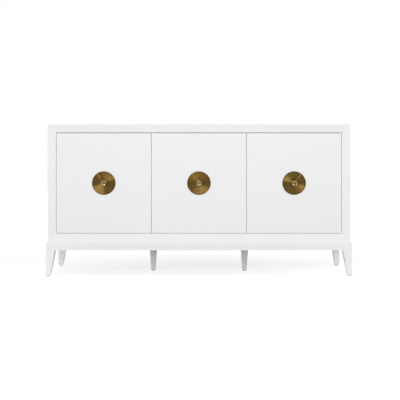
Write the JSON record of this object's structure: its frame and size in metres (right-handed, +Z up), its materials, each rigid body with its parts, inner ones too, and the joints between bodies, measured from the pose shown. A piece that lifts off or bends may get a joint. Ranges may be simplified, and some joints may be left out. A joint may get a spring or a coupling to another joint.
{
  "type": "sideboard",
  "caption": "Lacquered sideboard: flush slab doors in a mitred, sloping face frame, turned brass disc pulls, shelved bays, and a bevelled stand on tapered legs.",
  "frame": {"origin": "on the floor, midway along the width and midway from the knob tips to the back", "axes": "+X to the viewer's right along the width, +Y from the doors to the back, +Z up"},
  "size_m": [1.829, 0.471, 0.907],
  "materials": {
    "white_lacquer": "satin white lacquer",
    "inner_lacquer": "matt white lacquer",
    "antique_brass": "antique brass, turned in fine rings",
    "hinge_brass": "plain brass",
    "steel": "zinc-plated",
    "magnet": "dark magnet",
    "catch_plastic": "moulded",
    "bumper_rubber": "soft, pale",
    "glide_plastic": "dark"
  },
  "bodies": {
    "case": {"top_panel": "white_lacquer", "bottom_panel": "inner_lacquer", "left_side_panel": "white_lacquer", "right_side_panel": "white_lacquer", "left_partition": "inner_lacquer", "right_partition": "inner_lacquer", "back_panel": "inner_lacquer", "case_back_rail": "inner_lacquer", "frame_top_rail": "white_lacquer", "frame_bottom_rail": "white_lacquer", "frame_left_stile": "white_lacquer", "frame_right_stile": "white_lacquer", "left_shelf": "inner_lacquer", "middle_shelf": "inner_lacquer", "right_shelf": "inner_lacquer", "shelf_pins": "steel", "back_panel_screws": "steel", "base_front_apron": "white_lacquer", "base_back_apron": "white_lacquer", "base_left_apron": "white_lacquer", "base_right_apron": "white_lacquer", "left_cross_rail": "inner_lacquer", "right_cross_rail": "inner_lacquer", "corner_blocks": "inner_lacquer", "front_left_leg": "white_lacquer", "front_right_leg": "white_lacquer", "back_left_leg": "white_lacquer", "back_right_leg": "white_lacquer", "left_middle_leg": "white_lacquer", "right_middle_leg": "white_lacquer", "leg_glides": "glide_plastic", "leg_bolts": "steel", "leg_nuts": "steel", "case_screws": "steel", "case_hinge_leaves": "hinge_brass", "hinge_pins": "steel", "hinge_washers": "hinge_brass", "case_hardware_screws": "steel", "catch_housings": "catch_plastic", "catch_magnets": "magnet", "door_bumpers": "bumper_rubber"},
    "left_door": {"left_door": "white_lacquer", "left_pull_disc": "antique_brass", "left_pull_knob": "antique_brass", "left_door_hinge_leaves": "hinge_brass", "left_door_strike": "steel", "left_door_screws": "steel"},
    "middle_door": {"middle_door": "white_lacquer", "middle_pull_disc": "antique_brass", "middle_pull_knob": "antique_brass", "middle_door_hinge_leaves": "hinge_brass", "middle_door_strike": "steel", "middle_door_screws": "steel"},
    "right_door": {"right_door": "white_lacquer", "right_pull_disc": "antique_brass", "right_pull_knob": "antique_brass", "right_door_hinge_leaves": "hinge_brass", "right_door_strike": "steel", "right_door_screws": "steel"}
  },
  "joints": [
    {"name": "left_door_hinge", "type": "hinge", "parent": "case", "child": "left_door", "pos_m": [-0.84368, -0.1995, 0.55575], "axis": [0, 0, -1], "range_deg": [0, 105]},
    {"name": "middle_door_hinge", "type": "hinge", "parent": "case", "child": "middle_door", "pos_m": [-0.27402, -0.1995, 0.55575], "axis": [0, 0, -1], "range_deg": [0, 105]},
    {"name": "right_door_hinge", "type": "hinge", "parent": "case", "child": "right_door", "pos_m": [0.84368, -0.1995, 0.55575], "axis": [0, 0, 1], "range_deg": [0, 105]}
  ]
}
